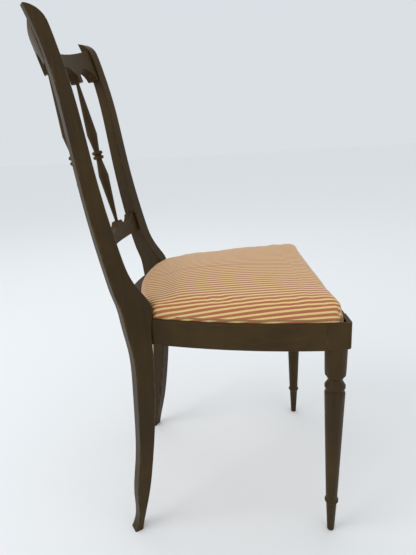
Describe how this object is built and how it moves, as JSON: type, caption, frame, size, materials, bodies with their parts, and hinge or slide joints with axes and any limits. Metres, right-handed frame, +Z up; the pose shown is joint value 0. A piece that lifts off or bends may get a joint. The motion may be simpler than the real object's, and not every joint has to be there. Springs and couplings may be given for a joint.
{
  "type": "lyre back chair",
  "caption": "Spindle-back dining chair with a barrel-curved back, scalloped crest and cross rails, turned front legs and a loose striped drop-in seat.",
  "frame": {"origin": "on the floor, below the middle of the bounding box", "axes": "+Z up; -Y towards the front, where the sitter's knees are; +X towards the sitter's left"},
  "size_m": [0.424, 0.488, 0.909],
  "materials": {
    "stained_wood": "dark brown stain under worn satin polish",
    "plain_wood": "bare planed wood",
    "webbing": "woven jute",
    "hessian": "open woven jute",
    "stuffing": "hair under wadding",
    "cover": "striped satin weave"
  },
  "bodies": {
    "chair_frame": {"back_cross_rail": "stained_wood", "corner_block_front_left": "plain_wood", "corner_block_front_right": "plain_wood", "corner_block_rear_left": "plain_wood", "corner_block_rear_right": "plain_wood", "crest_rail": "stained_wood", "front_leg_left": "stained_wood", "front_leg_right": "stained_wood", "front_seat_rail": "stained_wood", "rear_leg_left": "stained_wood", "rear_leg_right": "stained_wood", "rear_seat_rail": "stained_wood", "side_seat_rail_left": "stained_wood", "side_seat_rail_right": "stained_wood", "spindle_left": "stained_wood", "spindle_middle": "stained_wood", "spindle_right": "stained_wood"},
    "slip_seat": {"seat_cover": "cover", "seat_frame_front": "plain_wood", "seat_frame_rear": "plain_wood", "seat_frame_side_left": "plain_wood", "seat_frame_side_right": "plain_wood", "seat_hessian": "hessian", "seat_stuffing": "stuffing", "seat_web_front": "webbing", "seat_web_left": "webbing", "seat_web_middle": "webbing", "seat_web_rear": "webbing", "seat_web_right": "webbing"}
  },
  "joints": [
    {"name": "seat_lift", "type": "slide", "parent": "chair_frame", "child": "slip_seat", "axis": [0, 0, 1], "range_m": [0, 0.08]}
  ]
}
